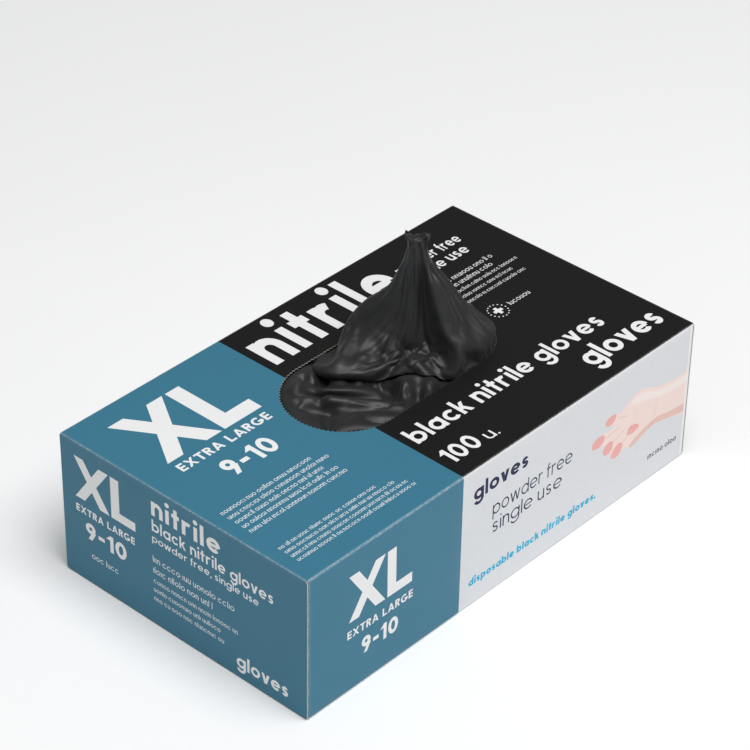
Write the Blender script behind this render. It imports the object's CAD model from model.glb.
import math

import bpy
import numpy as np
from mathutils import Matrix, Vector
from mathutils.geometry import delaunay_2d_cdt


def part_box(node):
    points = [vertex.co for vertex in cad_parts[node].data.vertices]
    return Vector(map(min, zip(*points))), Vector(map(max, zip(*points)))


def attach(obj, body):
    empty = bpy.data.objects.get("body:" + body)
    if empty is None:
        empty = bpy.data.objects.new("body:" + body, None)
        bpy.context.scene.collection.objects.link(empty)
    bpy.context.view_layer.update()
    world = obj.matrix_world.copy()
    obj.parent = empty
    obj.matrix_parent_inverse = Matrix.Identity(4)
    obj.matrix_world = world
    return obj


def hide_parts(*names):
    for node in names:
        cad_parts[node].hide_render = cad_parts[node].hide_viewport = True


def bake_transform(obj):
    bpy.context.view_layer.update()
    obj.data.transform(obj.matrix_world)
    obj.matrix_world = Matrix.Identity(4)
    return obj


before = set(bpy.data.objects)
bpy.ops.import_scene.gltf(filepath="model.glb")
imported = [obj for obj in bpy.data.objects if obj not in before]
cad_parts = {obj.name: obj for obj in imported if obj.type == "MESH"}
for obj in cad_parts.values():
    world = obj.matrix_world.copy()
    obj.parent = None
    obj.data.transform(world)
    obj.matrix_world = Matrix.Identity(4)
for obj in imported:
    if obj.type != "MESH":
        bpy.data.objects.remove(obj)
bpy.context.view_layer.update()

MM = 0.001


def node_box(node):
    """Lowest and highest corner of a CAD node, in millimetres."""
    low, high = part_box(node)
    return np.array(low) / MM, np.array(high) / MM


HALF_L = node_box("top_panel")[1][0]
HALF_W = -node_box("front_wall")[0][1]
HEIGHT = node_box("top_panel")[1][2]
BOARD = 0.5                         # thickness of the board
FOLD = 1.2                          # outer radius of the long folds
CREASE = 0.6                        # outer radius of the flaps' creases
OPEN_X, OPEN_Y, OPEN_L, OPEN_W = 6.2, 4.0, 109.0, 52.6      # centre and size of the opening
BAND = -HALF_L / 4 - 0.3            # where the blue band ends along X

# ---------------------------------------------------------------- materials


def add(name, data):
    """A new object in the scene."""
    made = bpy.data.objects.new(name, data)
    bpy.context.scene.collection.objects.link(made)
    return made


def new_material(name):
    """An empty material, its node tree and its shader."""
    material = bpy.data.materials.new(name)
    material.use_nodes = True
    nodes = material.node_tree.nodes
    return material, material.node_tree, nodes["Principled BSDF"]


def noise(tree, scale, detail=3.0, rough=0.6, squash=None):
    """Noise over the object's own coordinates, in metres, squashed where squash is given."""
    coords = tree.nodes.new("ShaderNodeTexCoord")
    texture = tree.nodes.new("ShaderNodeTexNoise")
    texture.inputs["Scale"].default_value = scale
    texture.inputs["Detail"].default_value = detail
    texture.inputs["Roughness"].default_value = rough
    source = coords.outputs["Object"]
    if squash:
        mapping = tree.nodes.new("ShaderNodeMapping")
        mapping.inputs["Scale"].default_value = squash
        tree.links.new(source, mapping.inputs["Vector"])
        source = mapping.outputs["Vector"]
    tree.links.new(source, texture.inputs["Vector"])
    return texture.outputs["Fac"]


def ramp(tree, source, low, high, to_low, to_high):
    """Maps the range low to high onto another."""
    node = tree.nodes.new("ShaderNodeMapRange")
    node.inputs["From Min"].default_value = low
    node.inputs["From Max"].default_value = high
    node.inputs["To Min"].default_value = to_low
    node.inputs["To Max"].default_value = to_high
    tree.links.new(source, node.inputs["Value"])
    return node.outputs["Result"]


def mixed(tree, factor, first, second):
    """Mix of two colours, each a tuple or a node's output."""
    node = tree.nodes.new("ShaderNodeMix")
    node.data_type = "RGBA"
    for socket, value in (("A", first), ("B", second)):
        target = [s for s in node.inputs if s.name == socket and s.type == "RGBA"][0]
        if isinstance(value, tuple):
            target.default_value = (*value, 1)
        else:
            tree.links.new(value, target)
    tree.links.new(factor, node.inputs["Factor"])
    return [s for s in node.outputs if s.type == "RGBA"][0]


def bump(tree, shader, layers):
    """Stacks bump nodes: (height output, strength, distance in metres)."""
    normal = None
    for height, strength, distance in layers:
        node = tree.nodes.new("ShaderNodeBump")
        node.inputs["Strength"].default_value = strength
        node.inputs["Distance"].default_value = distance
        tree.links.new(height, node.inputs["Height"])
        if normal:
            tree.links.new(normal, node.inputs["Normal"])
        normal = node.outputs["Normal"]
    tree.links.new(normal, shader.inputs["Normal"])


def times(tree, a, b):
    node = tree.nodes.new("ShaderNodeMath")
    node.operation = "MULTIPLY"
    for socket, value in zip(node.inputs, (a, b)):
        if isinstance(value, (int, float)):
            socket.default_value = value
        else:
            tree.links.new(value, socket)
    return node.outputs["Value"]


PAPER = (0.80, 0.80, 0.79)


def ink_material(name, colour, roughness=0.42):
    """Varnished print on board: slight mottle, worn to the paper along the creases."""
    material, tree, shader = new_material(name)
    mottle = noise(tree, 900, 4)
    dark = tuple(c * 0.93 for c in colour)
    light = tuple(min(1.0, c * 1.05 + 0.002) for c in colour)
    printed = mixed(tree, mottle, dark, light)
    worn = tree.nodes.new("ShaderNodeAttribute")
    worn.attribute_name = "wear"
    patchy = ramp(tree, noise(tree, 1400, 5, 0.7), 0.42, 0.62, 0.0, 1.0)
    wear = times(tree, worn.outputs["Fac"], ramp(tree, patchy, 0, 1, 0.15, 0.6))
    tree.links.new(mixed(tree, wear, printed, PAPER), shader.inputs["Base Color"])
    tree.links.new(ramp(tree, noise(tree, 60, 3), 0.3, 0.7, roughness - 0.04, roughness + 0.05),
                   shader.inputs["Roughness"])
    shader.inputs["Specular IOR Level"].default_value = 0.18
    bump(tree, shader, [(noise(tree, 45, 2), 0.10, 0.0012), (noise(tree, 2600, 3), 0.12, 0.00004)])
    return material


def board_material(name, light, dark, speck=0.5):
    """Uncoated recycled board: fibres, flecks and a rough face."""
    material, tree, shader = new_material(name)
    fibres = noise(tree, 420, 6, 0.75, (1, 3, 3))
    fleck = ramp(tree, noise(tree, 1700, 2), 0.62, 0.70, 0.0, speck)
    base = mixed(tree, ramp(tree, fibres, 0.3, 0.7, 0, 1), dark, light)
    tree.links.new(mixed(tree, fleck, base, tuple(c * 0.55 for c in dark)), shader.inputs["Base Color"])
    shader.inputs["Roughness"].default_value = 0.85
    shader.inputs["Specular IOR Level"].default_value = 0.25
    bump(tree, shader, [(fibres, 0.25, 0.0001), (noise(tree, 3000, 2), 0.2, 0.00005)])
    return material


def nitrile_material():
    """Matte black nitrile film with a fine grain and faint chlorination bloom."""
    material, tree, shader = new_material("nitrile_black")
    bloom = ramp(tree, noise(tree, 70, 4, 0.6), 0.35, 0.7, 0.0, 1.0)
    colour = mixed(tree, bloom, (0.009, 0.009, 0.0095), (0.017, 0.017, 0.018))
    tree.links.new(colour, shader.inputs["Base Color"])
    tree.links.new(ramp(tree, noise(tree, 160, 4), 0.3, 0.7, 0.46, 0.60), shader.inputs["Roughness"])
    shader.inputs["Specular IOR Level"].default_value = 0.55
    shader.inputs["Sheen Weight"].default_value = 0.06
    shader.inputs["Sheen Roughness"].default_value = 0.5
    bump(tree, shader, [(noise(tree, 420, 3, 0.6), 0.15, 0.0004), (noise(tree, 3800, 2), 0.10, 0.00004)])
    return material


def glue_material():
    """Amber hot-melt glue."""
    material, tree, shader = new_material("hot_melt")
    tree.links.new(mixed(tree, noise(tree, 500, 3), (0.62, 0.54, 0.36), (0.80, 0.74, 0.56)),
                   shader.inputs["Base Color"])
    shader.inputs["Roughness"].default_value = 0.3
    shader.inputs["Subsurface Weight"].default_value = 0.1
    bump(tree, shader, [(noise(tree, 350, 2), 0.4, 0.0003)])
    return material


INKS = {
    "blue": ink_material("ink_blue", (0.047, 0.196, 0.292)),
    "black": ink_material("ink_black", (0.0085, 0.0085, 0.0080), 0.46),
    "white": ink_material("ink_white", (0.90, 0.90, 0.90)),
    "cool white": ink_material("ink_cool_white", (0.75, 0.765, 0.79)),
    "navy": ink_material("ink_navy", (0.008, 0.010, 0.065)),
    "cyan": ink_material("ink_cyan", (0.0, 0.44, 0.68)),
    "skin": ink_material("ink_skin", (0.95, 0.76, 0.71)),
    "skin shade": ink_material("ink_skin_shade", (0.84, 0.56, 0.50)),
    "skin rose": ink_material("ink_skin_rose", (0.90, 0.45, 0.41)),
    "skin light": ink_material("ink_skin_light", (0.96, 0.85, 0.81)),
    "inside": board_material("board_inside", (0.46, 0.42, 0.36), (0.36, 0.32, 0.27)),
    "edge": board_material("board_edge", (0.62, 0.60, 0.56), (0.44, 0.41, 0.37), 0.3),
}
INK_NAMES = list(INKS)
NITRILE = nitrile_material()
HOT_MELT = glue_material()

# ---------------------------------------------------------------- lettering, drawn with strokes


def bar(x0, y0, x1, y1, w):
    """Thick straight stroke with square ends."""
    d = np.array([x1 - x0, y1 - y0], float)
    n = np.array([-d[1], d[0]]) / np.linalg.norm(d) * w / 2
    a, b = np.array([x0, y0]), np.array([x1, y1])
    return [np.array([a - n, b - n, b + n, a + n])]


def slant(x0, y0, x1, y1, w):
    """Leaning stroke whose two ends are cut level."""
    return [np.array([[x0 - w / 2, y0], [x0 + w / 2, y0], [x1 + w / 2, y1], [x1 - w / 2, y1]])]


def arc(cx, cy, r, a0, a1, w, ry=None, turn=12):
    """Thick arc, or a whole ring, with angles in degrees and a point every turn degrees."""
    ry = ry or r
    steps = max(4, int(abs(a1 - a0) / turn))
    t = np.radians(np.linspace(a0, a1, steps + 1))
    outer = np.stack([cx + (r + w / 2) * np.cos(t), cy + (ry + w / 2) * np.sin(t)], 1)
    inner = np.stack([cx + (r - w / 2) * np.cos(t), cy + (ry - w / 2) * np.sin(t)], 1)
    if abs(a1 - a0) >= 360:
        return [outer[:-1], inner[:-1]]
    return [np.concatenate([outer, inner[::-1]])]


def dot(cx, cy, r):
    t = np.radians(np.arange(0, 360, 20))
    return [np.stack([cx + r * np.cos(t), cy + r * np.sin(t)], 1)]


def glyph(letter, w):
    """(shapes, width). Small letters have an x-height of 1; capitals and digits a height of 1."""
    r = (1 - w) / 2
    n = 0.30
    ring, right = arc(w / 2 + r, 0.5, r, 0, 360, w), w / 2 + 2 * r
    stem, far = w / 2, w / 2 + 2 * n
    top = 1 - w / 2 - n
    arch = [arc(stem + n, top, n, 0, 180, w), bar(far, 0, far, top, w)]
    tall = TALL
    c = w * 1.12
    table = {
        "o": ([ring], 1.0),
        "n": ([bar(stem, 0, stem, 1, w), *arch], 2 * n + w),
        "h": ([bar(stem, 0, stem, tall, w), *arch], 2 * n + w),
        "u": ([bar(far, 0, far, 1, w), arc(stem + n, w / 2 + n, n, 180, 360, w),
               bar(stem, w / 2 + n, stem, 1, w)], 2 * n + w),
        "r": ([bar(stem, 0, stem, 1, w), arc(stem + n, top, n, 60, 180, w)], n + w + 0.1),
        "i": ([bar(stem, 0, stem, 1, w), dot(stem, 1.34, w * 0.62)], w),
        "l": ([bar(stem, 0, stem, tall, w)], w),
        "t": ([bar(0.14 + stem, 0, 0.14 + stem, 1.34, w), bar(0, 1 - w / 2, 0.56, 1 - w / 2, w)], 0.56),
        "f": ([bar(0.12 + stem, 0, 0.12 + stem, 1.14, w), arc(0.12 + stem + 0.2, 1.14, 0.2, 80, 180, w),
               bar(0, 1 - w / 2, 0.5, 1 - w / 2, w)], 0.52),
        "e": ([arc(w / 2 + r, 0.5, r, 0, 318, w), bar(w / 2, 0.5, right, 0.5, w * 0.8)], 1.0),
        "c": ([arc(w / 2 + r, 0.5, r, 42, 318, w)], 0.9),
        "a": ([ring, bar(right, 0, right, 1, w)], 1.0),
        "b": ([ring, bar(stem, 0, stem, tall, w)], 1.0),
        "d": ([ring, bar(right, 0, right, tall, w)], 1.0),
        "p": ([ring, bar(stem, -0.4, stem, 1, w)], 1.0),
        "g": ([ring, bar(right, 0, right, 1, w), arc(w / 2 + r, 0.0, r, 200, 360, w)], 1.0),
        "s": ([arc(0.36, 0.5 + r / 2, r / 2, 20, 270, w, r / 2),
               arc(0.36, 0.5 - r / 2, r / 2, -160, 90, w, r / 2)], 0.72),
        "v": ([slant(0.44, 0, c / 2, 1, c), slant(0.44, 0, 0.88 - c / 2, 1, c)], 0.88),
        "w": ([slant(0.36, 0, c / 2, 1, c), slant(0.36, 0, 0.66, 1, c), slant(0.96, 0, 0.66, 1, c),
               slant(0.96, 0, 1.32 - c / 2, 1, c)], 1.32),
        "k": ([bar(stem, 0, stem, tall, w), slant(w * 0.9, 0.38, 0.78 - c / 2, 1, c),
               slant(0.84 - c / 2, 0, w * 1.5, 0.62, c)], 0.84),
        "-": ([bar(0.05, 0.45, 0.45, 0.45, w)], 0.5),
        ",": ([slant(w * 0.4, -0.22, w * 0.8, w, w)], w),
        ".": ([dot(w / 2, w / 2, w * 0.6)], w),
        "X": ([slant(c / 2, 0, 0.86 - c / 2, 1, c), slant(0.86 - c / 2, 0, c / 2, 1, c)], 0.86),
        "L": ([bar(stem, 0, stem, 1, w), bar(0, w / 2, 0.6, w / 2, w)], 0.6),
        "E": ([bar(stem, 0, stem, 1, w), *[bar(0, y, 0.56, y, w) for y in (w / 2, 0.5, 1 - w / 2)]], 0.56),
        "T": ([bar(0.34, 0, 0.34, 1, w), bar(0, 1 - w / 2, 0.68, 1 - w / 2, w)], 0.68),
        "A": ([slant(w / 2, 0, 0.42, 1, w), slant(0.84 - w / 2, 0, 0.42, 1, w),
               bar(0.2, 0.28, 0.64, 0.28, w * 0.9)], 0.84),
        "R": ([bar(stem, 0, stem, 1, w), arc(0.34, 0.72, 0.28 - w / 2, -90, 90, w),
               bar(stem, 1 - w / 2, 0.34, 1 - w / 2, w), bar(stem, 0.44 + w / 2, 0.34, 0.44 + w / 2, w),
               slant(0.62 - w / 2, 0, 0.36, 0.46, c)], 0.64),
        "G": ([arc(0.46, 0.5, 0.46 - w / 2, 48, 330, w, 0.5 - w / 2), bar(0.5, 0.42, 0.92, 0.42, w),
               bar(0.92 - w / 2, 0.2, 0.92 - w / 2, 0.42, w)], 0.92),
        "0": ([arc(0.36, 0.5, 0.36 - w / 2, 0, 360, w, 0.5 - w / 2)], 0.72),
        "1": ([bar(0.3, 0, 0.3, 1, w), slant(0.06, 0.72, 0.3, 1 - w * 0.2, c)], 0.3 + w / 2),
        "9": ([arc(0.33, 0.68, 0.32 - w / 2, 0, 360, w), arc(0.33, 0.68, 0.32 - w / 2, -58, 30, w),
               slant(0.28, 0, 0.56, 0.52, c)], 0.66),
    }
    return table[letter]


def word(text, x0, x1, base, size, weight=0.2, gap=0.16):
    """Shapes of a line of lettering from x0 to x1, on the baseline, with that x-height or height."""
    pen, shapes = 0.0, []
    for letter in text:
        if letter == " ":
            pen += 0.42
            continue
        drawn, width = glyph(letter, weight)
        shapes += [[loop + [pen, 0] for loop in shape] for shape in drawn]
        pen += width + gap
    scale = np.array([(x1 - x0) / (pen - gap), size])
    return [[loop * scale + [x0, base] for loop in shape] for shape in shapes]


MARKS = ["ring", "arch", "cup", "stem", "tall", "bow"]
MARK_SHARES = [0.3, 0.22, 0.14, 0.1, 0.12, 0.12]
TALL = 1.42                         # height of a tall letter, where a small one is 1


def small_print(x0, x1, base, size, seed, weight=0.16):
    """A line of rings, arches and stems that reads as small print and spells nothing."""
    rng = np.random.default_rng(seed)
    shapes, x = [], x0
    w = size * weight
    r = size / 2 - w / 2
    n = size * 0.27
    while x < x1 - size * 0.5:
        for _ in range(rng.integers(2, 9)):
            kind = rng.choice(MARKS, p=MARK_SHARES)
            wide = w if kind in ("stem", "tall") else 2 * n + w if kind in ("arch", "cup") else size * 0.94
            if x + wide > x1:
                break
            left, right = x + w / 2, x + w / 2 + 2 * n
            if kind == "ring":
                shapes.append(arc(x + size * 0.47, base + size / 2, r, 0, 360, w, turn=36))
            elif kind == "bow":
                shapes.append(arc(x + size * 0.47, base + size / 2, r, 40, 320, w, turn=36))
            elif kind == "arch":
                shapes += [bar(left, base, left, base + size, w), bar(right, base, right, base + size - n, w),
                           arc(left + n, base + size - n - w / 2, n, 0, 180, w, turn=36)]
            elif kind == "cup":
                shapes += [bar(right, base, right, base + size, w), bar(left, base + n, left, base + size, w),
                           arc(left + n, base + n + w / 2, n, 180, 360, w, turn=36)]
            else:
                shapes.append(bar(left, base, left, base + size * (TALL if kind == "tall" else 1.0), w))
            x += wide + size * 0.2
        x += size * 0.42
    return shapes


def smooth_loop(points, pieces=4):
    """A closed curve through a few points."""
    p = np.array(points, float)
    before, after, second = np.roll(p, 1, 0), np.roll(p, -1, 0), np.roll(p, -2, 0)
    out = []
    for k in range(pieces):
        t = k / pieces
        out.append(0.5 * (2 * p + (after - before) * t + (2 * before - 5 * p + 4 * after - second) * t ** 2
                          + (3 * p - before - 3 * after + second) * t ** 3))
    return np.stack(out, 1).reshape(-1, 2)


def hand_picture():
    """A plain drawn hand and forearm that reach in from the right of a wall: (ink, shapes) pairs."""
    arm = smooth_loop([
        (124, 47), (112, 46.5), (104, 47.5), (96, 49), (91, 51.5), (85, 53.5), (80, 53), (75, 50.5),
        (71, 48.6), (66, 50.2), (61.5, 49.5), (61, 46.8), (65, 45), (67.5, 43.4), (62, 43),
        (56, 43.5), (52.5, 41.5), (53, 38.5), (58, 37.5), (61.5, 36.6), (60, 33.5), (62, 31),
        (65.6, 30.2), (66, 27.5), (69.5, 25.8), (73.5, 27), (77, 27.2), (80, 25.6), (84.5, 26.5),
        (90, 28.5), (97, 29.5), (106, 27.5), (124, 24)])
    shade = smooth_loop([
        (124, 24), (106, 27.5), (97, 29.5), (90, 28.5), (84.5, 26.5), (80, 25.6), (79, 27.5),
        (84, 29.8), (91, 31.6), (98, 32.4), (107, 30.6), (124, 28)])
    tips = [smooth_loop(loop) for loop in (
        [(52.5, 41.5), (53, 38.5), (57, 37.7), (60, 39), (60.5, 42.3), (56, 43.5)],
        [(61.5, 49.5), (61, 46.8), (64, 45.5), (67, 46.4), (68, 49.2), (65.5, 50.2)],
        [(60, 33.5), (62, 31), (65.5, 31), (67, 34), (66, 36.6), (62.2, 36.4)],
        [(66, 27.5), (69.5, 25.8), (72.5, 27), (74, 30.2), (72, 32.6), (68, 31.4)],
        [(76.5, 34), (81, 32.8), (85, 34.6), (82, 37), (78, 37.4)])]
    light = smooth_loop([
        (124, 45.5), (112, 45), (103, 45.5), (95, 47.5), (89, 50.4), (83, 51.5), (78, 50), (82, 47.5),
        (90, 45.5), (98, 43), (108, 41.5), (124, 41)])
    creases = [bar(*crease) for crease in (
        (61.5, 40, 71, 41.4, 0.45), (66.5, 35, 74.5, 37.6, 0.45), (73.6, 31.4, 79.5, 34.6, 0.45),
        (69.5, 46.6, 76, 44.4, 0.4), (95.6, 34, 97, 43, 0.3))]
    return [("skin", [[arm]]), ("skin light", [[light]]), ("skin rose", [[tip] for tip in tips]),
            ("skin shade", [[shade]] + creases)]


# ---------------------------------------------------------------- printed board


def inside(points, loop):
    """Which points lie in a closed loop."""
    a, b = loop, np.roll(loop, -1, 0)
    x, y = points[:, :1], points[:, 1:]
    crosses = (a[:, 1] > y) != (b[:, 1] > y)
    slope = np.where(b[:, 1] == a[:, 1], 1.0, b[:, 1] - a[:, 1])
    hit = x < (b[:, 0] - a[:, 0]) * (y - a[:, 1]) / slope + a[:, 0]
    return (crosses & hit).sum(1) % 2 == 1


def in_shape(points, shape):
    """Which points lie in a shape: its outer loop less any inner ones."""
    hit = np.zeros(len(points), bool)
    outer = shape[0]
    low, high = outer.min(0), outer.max(0)
    near = np.nonzero(((points > low) & (points < high)).all(1))[0]
    if len(near):
        odd = np.zeros(len(near), bool)
        for loop in shape:
            odd ^= inside(points[near], loop)
        hit[near] = odd
    return hit


def triangulate(loops, lines, extra, keep):
    """Triangles whose centres keep() accepts, with every loop and line along their edges."""
    points, edges = [], []
    for closed, group in ((True, loops), (False, lines)):
        for loop in group:
            start, count = len(points), len(loop)
            points += [tuple(p) for p in loop]
            edges += [(start + i, start + (i + 1) % count) for i in range(count if closed else count - 1)]
    points += [tuple(p) for p in extra]
    out, _, triangles, _, _, _ = delaunay_2d_cdt([Vector(p) for p in points], edges, [], 0, 1e-4, False)
    out = np.array([tuple(p) for p in out])
    triangles = np.array(triangles)
    triangles = triangles[keep(out[triangles].mean(1))]
    used, number = np.unique(triangles, return_inverse=True)
    return out[used], number.reshape(triangles.shape)


def border(triangles):
    """Directed edges used by one triangle only."""
    edges = np.concatenate([triangles[:, [0, 1]], triangles[:, [1, 2]], triangles[:, [2, 0]]])
    keys = {}
    for a, b in edges:
        keys[(a, b)] = keys.get((a, b), 0) + 1
    return [(a, b) for (a, b) in keys if (b, a) not in keys]


def board_mesh(name, vertices, faces, indices, names, wear=None, sharp=35):
    mesh = bpy.data.meshes.new(name)
    mesh.from_pydata([tuple(v * MM) for v in vertices], [], [tuple(int(i) for i in f) for f in faces])
    used = sorted(set(indices))
    for i in used:
        mesh.materials.append(INKS[names[i]])
    mesh.polygons.foreach_set("material_index", [used.index(i) for i in indices])
    mesh.polygons.foreach_set("use_smooth", [True] * len(mesh.polygons))
    if wear is not None:
        mesh.attributes.new("wear", "FLOAT", "POINT").data.foreach_set("value", wear.astype(np.float32))
    mesh.update()
    mesh.set_sharp_from_angle(angle=math.radians(sharp))
    return add(name, mesh)


def board(name, outline, place, inks=(), holes=(), rows=(), base="white", back="inside", grid=8.0,
          wear=None, rim="edge"):
    """A panel of board. place(u, v, depth) folds the flat print into its place; inks are
    (ink name, shapes) in print order; rows are lines (v values) where the panel starts to bend."""
    outline = np.array(outline, float)
    low, high = outline.min(0), outline.max(0)

    def keep(centres):
        kept = inside(centres, outline)
        for hole in holes:
            kept &= ~inside(centres, hole)
        return kept

    xs = np.arange(low[0] + grid / 2, high[0], grid)
    ys = np.arange(low[1] + grid / 2, high[1], grid)
    extra = np.stack(np.meshgrid(xs, ys, indexing="ij"), -1).reshape(-1, 2)
    extra = extra[keep(extra)]
    lines = [np.stack([np.linspace(low[0] - 1, high[0] + 1, 12), np.full(12, v)], 1) for v in rows]
    loops = [outline, *holes] + [loop for _, shapes in inks for shape in shapes for loop in shape]
    flat, skin = triangulate(loops, lines, extra, keep)
    centres = flat[skin].mean(1)
    index = np.full(len(skin), INK_NAMES.index(base))
    for ink, shapes in inks:
        for shape in shapes:
            index[in_shape(centres, shape)] = INK_NAMES.index(ink)
    # the inner face has no print, and meets the rim point for point
    rim_edges = border(skin)
    rim_points = sorted({a for e in rim_edges for a in e})
    number = {p: i for i, p in enumerate(rim_points)}
    edges = [(number[a], number[b]) for a, b in rim_edges]
    for v in rows:
        on_row = sorted((flat[p][0], number[p]) for p in rim_points if abs(flat[p][1] - v) < 1e-3)
        if len(on_row) >= 2:
            edges.append((on_row[0][1], on_row[-1][1]))
    points = [Vector(flat[p]) for p in rim_points] + [Vector(p) for p in extra]
    out, _, back_skin, sources, _, _ = delaunay_2d_cdt(points, edges, [], 0, 1e-4, True)
    out = np.array([tuple(p) for p in out])
    back_skin = np.array(back_skin)
    back_skin = back_skin[keep(out[back_skin].mean(1))]
    used, numbers = np.unique(back_skin, return_inverse=True)
    out, sources, back_skin = out[used], [sources[i] for i in used], numbers.reshape(back_skin.shape)
    outer = place(flat[:, 0], flat[:, 1], 0.0)
    inner = place(out[:, 0], out[:, 1], BOARD)
    first = len(flat)
    under = {rim_points[k]: first + i
             for i, group in enumerate(sources) for k in group if k < len(rim_points)}
    faces = [tuple(t) for t in skin] + [tuple(first + t[::-1]) for t in back_skin]
    faces += [(b, a, under[a], under[b]) for a, b in rim_edges]
    indices = list(index) + [INK_NAMES.index(back)] * len(back_skin) + [INK_NAMES.index(rim)] * len(rim_edges)
    worn = np.zeros(first + len(out))
    if wear is not None:
        worn[:first] = wear(flat[:, 0], flat[:, 1])
    vertices = np.concatenate([outer, inner])
    return board_mesh(name, vertices, faces, indices, INK_NAMES, worn)


# ---------------------------------------------------------------- where the panels lie

QUARTER = math.pi / 2
TOP_X = HALF_L - 1.4                # the flat top and its end flaps meet here
TOP_Y = HALF_W - FOLD
WALL_X = HALF_L - 2.7               # the walls and their dust flaps meet here
BASE_X = HALF_L - 2.1               # the base and its inner flaps meet here
DUST_X = HALF_L - 1.3               # outer faces of the dust flaps, inner flaps and outer flaps
INNER_X = HALF_L - 0.65


def bow(u, v, half_u, half_v, height, waves=0.0):
    """Slight crown of a panel that is full behind, with nothing at its edges."""
    lift = np.cos(QUARTER * np.clip(u / half_u, -1, 1)) * np.cos(QUARTER * np.clip(v / half_v, -1, 1))
    ripple = np.sin(u * 0.071 + v * 0.043 + 0.6) * np.sin(v * 0.083 - u * 0.031) * waves
    return lift ** 0.7 * height + ripple * np.minimum(1, lift * 3)


def strip(steps):
    """Where a panel runs through straight lengths and bends: steps is [(length, turn in degrees)].
    Gives s -> (along, across, normal along, normal across) in the plane of the fold."""
    parts, at, heading, s = [], np.zeros(2), 0.0, 0.0
    for length, turn in steps:
        parts.append((s, length, math.radians(turn), at.copy(), heading))
        if turn:
            r = length / math.radians(turn)
            at = at + r * np.array([math.sin(heading + math.radians(turn)) - math.sin(heading),
                                    math.cos(heading) - math.cos(heading + math.radians(turn))])
            heading += math.radians(turn)
        else:
            at = at + length * np.array([math.cos(heading), math.sin(heading)])
        s += length

    def follow(values):
        values = np.asarray(values, float)
        point = np.zeros((len(values), 2))
        angle = np.zeros(len(values))
        for i, (start, length, turn, origin, heading) in enumerate(parts):
            end = start + length
            # the first and last parts run on without end
            after = values >= start if i else values > -1e9
            before = values < end if i < len(parts) - 1 else values < 1e9
            sel = after & before
            t = values[sel] - start
            a = heading + turn * t / length
            if turn:
                r = length / turn
                point[sel] = origin + r * np.stack([np.sin(a) - math.sin(heading),
                                                    math.cos(heading) - np.cos(a)], 1)
            else:
                point[sel] = origin + t[:, None] * np.array([math.cos(heading), math.sin(heading)])
            angle[sel] = a
        return point, angle

    return follow


def folded(origin, right, along, out, steps, lift=None):
    """place() for a panel whose v runs along a folded strip. At v = 0 the strip is at origin, runs
    towards along and faces out; it bends away from out. lift(u, v) stands the panel proud."""
    origin, right, along, out = (np.array(v, float) for v in (origin, right, along, out))
    follow = strip(steps)

    def place(u, v, depth):
        point, angle = follow(v)
        rise = (lift(u, v) if lift else 0.0) - depth
        ax = point[:, 0] + np.sin(angle) * rise
        ay = -point[:, 1] + np.cos(angle) * rise
        return origin + np.outer(u, right) + np.outer(ax, along) + np.outer(ay, out)

    return place


def rows_of(steps, pieces=6):
    """v values at the start, end and steps of every bend."""
    rows, s = [], 0.0
    for length, turn in steps:
        if turn:
            rows += list(s + length * np.arange(pieces + 1) / pieces)
        s += length
    return rows


def near(values, centre, width):
    return np.exp(-((values - centre) / width) ** 2)


def rect(x0, y0, x1, y1):
    """Corners of an upright rectangle."""
    return np.array([(x0, y0), (x1, y0), (x1, y1), (x0, y1)], float)


def cut_edge(loop, spacing):
    """The loop with points added along its long sides."""
    out = []
    for a, b in zip(loop, np.roll(loop, -1, 0)):
        n = max(1, int(np.linalg.norm(b - a) / spacing))
        out += [a + (b - a) * i / n for i in range(n)]
    return np.array(out)


def ride(piece, body, slot, *nodes):
    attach(piece, body)
    if nodes:
        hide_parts(*nodes)
    return piece


# ---------------------------------------------------------------- the print on each face


def size_block(mark, words, sizes, weight=0.22):
    """XL, the size in words and the glove sizes. Each is (x0, x1, base, height)."""
    return (word("XL", *mark, weight, 0.05) + word("EXTRA LARGE", *words, 0.2, 0.14)
            + word("9-10", *sizes, 0.22, 0.12))


def top_print():
    """White print on the top panel, in x and y."""
    white = size_block((-104.7, -51.3, 22, 35), (-104, -53.3, 13.7, 5.1), (-92.3, -65, -3, 10.7))
    for i, end in enumerate((-63, -56, -64, -59, -57)):
        white += small_print(-113, end, -17.2 - 3.9 * i, 1.75, 20 + i)
    for i, end in enumerate((-57, -51, -46, -46)):
        white += small_print(-113, end, -48.2 - 3.3 * i, 1.5, 30 + i)
    white += word("nitrile", -25.8, 56.3, 38.0, 18.6, 0.28, 0.2)
    white += word("powder free", 61, 101, 46.0, 4.7, 0.22)
    white += word("single use", 61, 97, 37.7, 4.7, 0.22)
    notes = ((27.4, 2.1, 100), (23.0, 2.1, 96), (18.8, 1.6, 106.7), (14.6, 1.6, 99), (10.4, 1.6, 104))
    for i, (base, size, end) in enumerate(notes):
        white += small_print(64.5, end, base, size, 40 + i)
    white += [dot(68.7 + 4.7 * math.cos(a), -2.3 + 4.7 * math.sin(a), 0.36)
              for a in np.radians(np.arange(0, 360, 22.5))]
    white += [bar(66.2, -2.3, 71.2, -2.3, 1.7), bar(68.7, -4.8, 68.7, 0.2, 1.7)]
    white += small_print(76, 91, -3.4, 2.1, 50)
    white += word("black nitrile gloves", -26.2, 94.2, -41.5, 7.3, 0.25)
    white += word("100", -26.2, -7.4, -60.2, 9.6, 0.2, 0.12) + word("u.", -3.9, 2.6, -60.2, 4.6, 0.16)
    white += word("gloves", 65, 113.7, -58.4, 8.8, 0.27, 0.14)
    return white


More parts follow.
